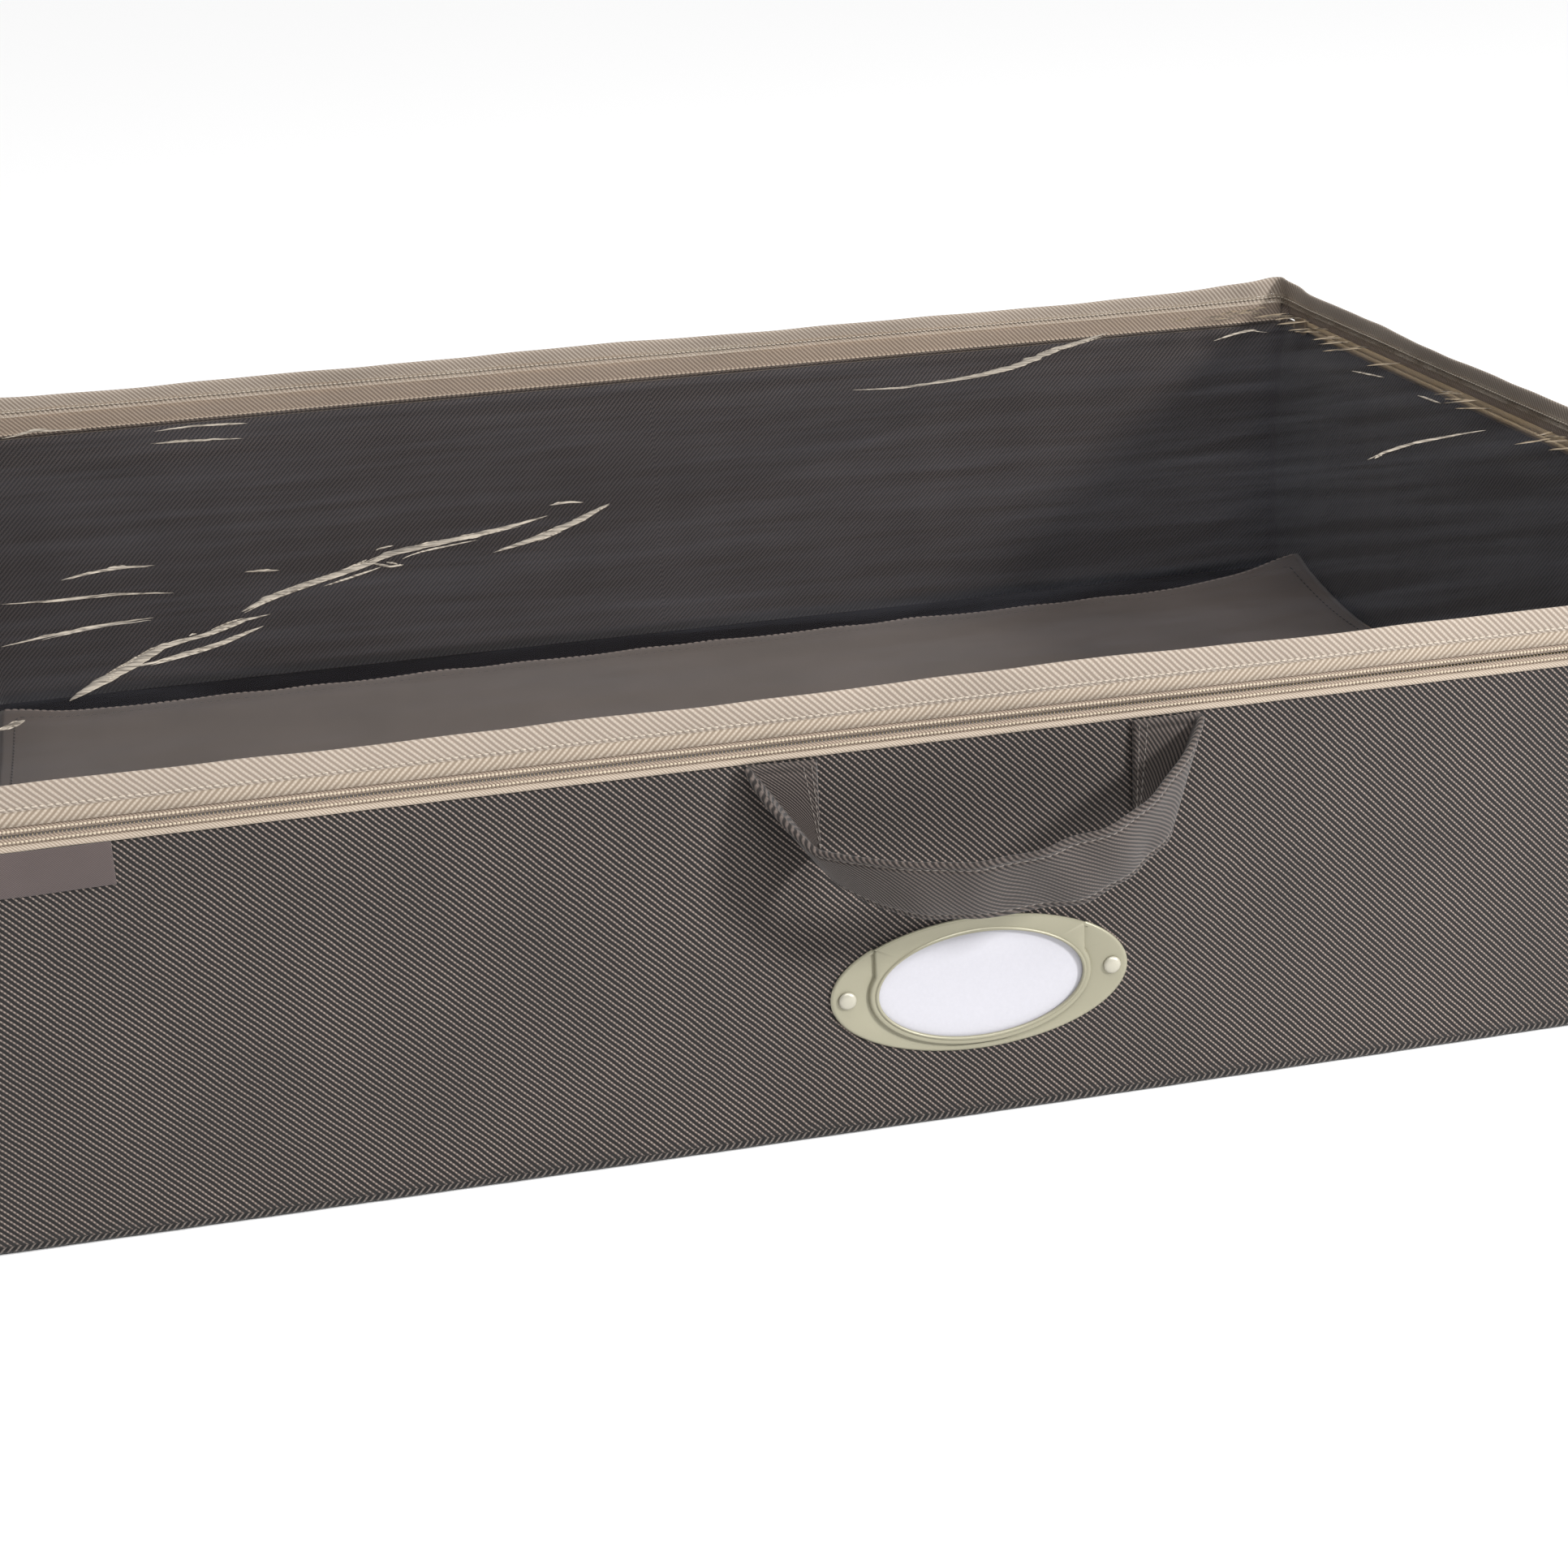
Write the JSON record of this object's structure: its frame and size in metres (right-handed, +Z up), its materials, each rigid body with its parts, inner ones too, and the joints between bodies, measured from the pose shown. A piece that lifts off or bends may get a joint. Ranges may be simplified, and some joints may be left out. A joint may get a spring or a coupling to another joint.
{
  "type": "under bed storage box",
  "caption": "Low rectangular cloth storage box with board-stiffened walls, a clear film lid zipped round its top edge, a front strap handle and an oval label holder.",
  "frame": {"origin": "middle of the box's underside, on the surface it stands on", "axes": "+X to the right seen from the front, +Y from the front to the back, +Z up"},
  "size_m": [0.683, 0.6092, 0.152],
  "materials": {
    "wall_cloth": "taupe polyester twill, matt",
    "lining_cloth": "inner face of the wall cloth, darker",
    "edge_piping": "dark bound edge",
    "zip_tape": "beige woven polyester tape",
    "zip_coil": "nylon coil, dyed with the tape",
    "stiffener": "grey-brown chipboard",
    "label_metal": "satin pale green-gold plating",
    "slider_metal": "painted zinc, tape colour",
    "card": "smooth white card",
    "clear_film": "clear soft vinyl",
    "woven_tag": "plain woven satin tag, blank"
  },
  "bodies": {
    "box": {"floor_cloth": "wall_cloth", "front_cloth": "wall_cloth", "right_cloth": "wall_cloth", "back_cloth": "wall_cloth", "left_cloth": "wall_cloth", "corner_cloths": "wall_cloth", "front_board": "stiffener", "right_board": "stiffener", "back_board": "stiffener", "left_board": "stiffener", "front_lining": "lining_cloth", "right_lining": "lining_cloth", "back_lining": "lining_cloth", "left_lining": "lining_cloth", "corner_linings": "lining_cloth", "bottom_piping": "edge_piping", "front_wall_tape": "zip_tape", "right_wall_tape": "zip_tape", "back_wall_tape": "zip_tape", "left_wall_tape": "zip_tape", "wall_coil": "zip_coil", "zip_stops": "zip_coil", "side_tag": "woven_tag", "handle_ends": "wall_cloth", "label_plate": "label_metal", "rivets": "label_metal", "rivet_washers": "label_metal"},
    "lid": {"lid_film": "clear_film", "film_seam": "clear_film", "front_lid_tape": "zip_tape", "right_lid_tape": "zip_tape", "back_lid_tape": "zip_tape", "left_lid_tape": "zip_tape", "lid_coil": "zip_coil"},
    "slider": {"slider": "slider_metal"},
    "pull_tab": {"pull_tab": "slider_metal"},
    "card": {"label_card": "card"},
    "handle": {"handle_strap": "wall_cloth"},
    "insert": {"insert_cover": "wall_cloth", "insert_board": "stiffener", "insert_backing": "lining_cloth"}
  },
  "joints": [
    {"name": "lid_hinge", "type": "hinge", "parent": "box", "child": "lid", "pos_m": [0, 0.283, 0.136], "axis": [-1, 0, 0], "range_deg": [0, 180]},
    {"name": "zip_slide", "type": "slide", "parent": "box", "child": "slider", "axis": [0, -1, 0], "range_m": [0, 0.5]},
    {"name": "pull_swing", "type": "hinge", "parent": "slider", "child": "pull_tab", "pos_m": [0.341, 0.251, 0.136], "axis": [0, 0, 1], "range_deg": [0, 165]},
    {"name": "card_slide", "type": "slide", "parent": "box", "child": "card", "axis": [0, 0, 1], "range_m": [0, 0.045]},
    {"name": "handle_swing", "type": "hinge", "parent": "box", "child": "handle", "pos_m": [0, -0.2845, 0.131], "axis": [-1, 0, 0], "range_deg": [0, 60]},
    {"name": "insert_lift", "type": "slide", "parent": "box", "child": "insert", "axis": [0, 0, 1], "range_m": [0, 0.12]}
  ]
}
